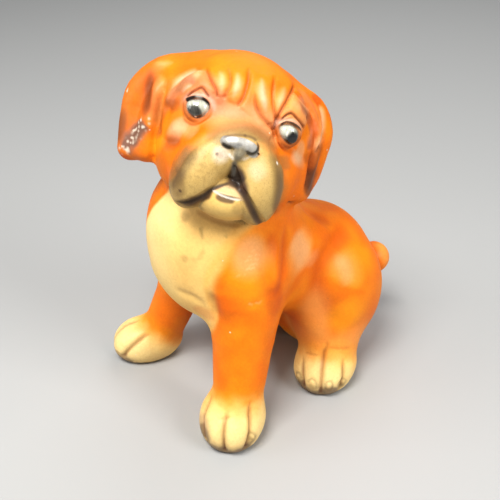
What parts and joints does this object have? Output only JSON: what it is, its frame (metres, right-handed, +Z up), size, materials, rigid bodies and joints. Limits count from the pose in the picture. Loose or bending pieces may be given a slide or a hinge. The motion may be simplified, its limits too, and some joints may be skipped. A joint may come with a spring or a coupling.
{
  "type": "dog figurine",
  "caption": "Slip-cast matt ceramic figurine of a sitting boxer puppy, head turned to its left, that stands on its paws and rump as a shelf ornament.",
  "frame": {"origin": "middle of the footprint box, on the surface the paws stand on", "axes": "+Z up; the body faces -Y and the puppy's own left side is +X; the head is turned to +X"},
  "size_m": [0.0928, 0.1232, 0.151],
  "materials": {
    "bisque_paint": "matt airbrushed orange and cream underglaze on bisque, glossy eyes and nose"
  },
  "bodies": {
    "root": {"dog_figure": "bisque_paint"}
  },
  "joints": []
}
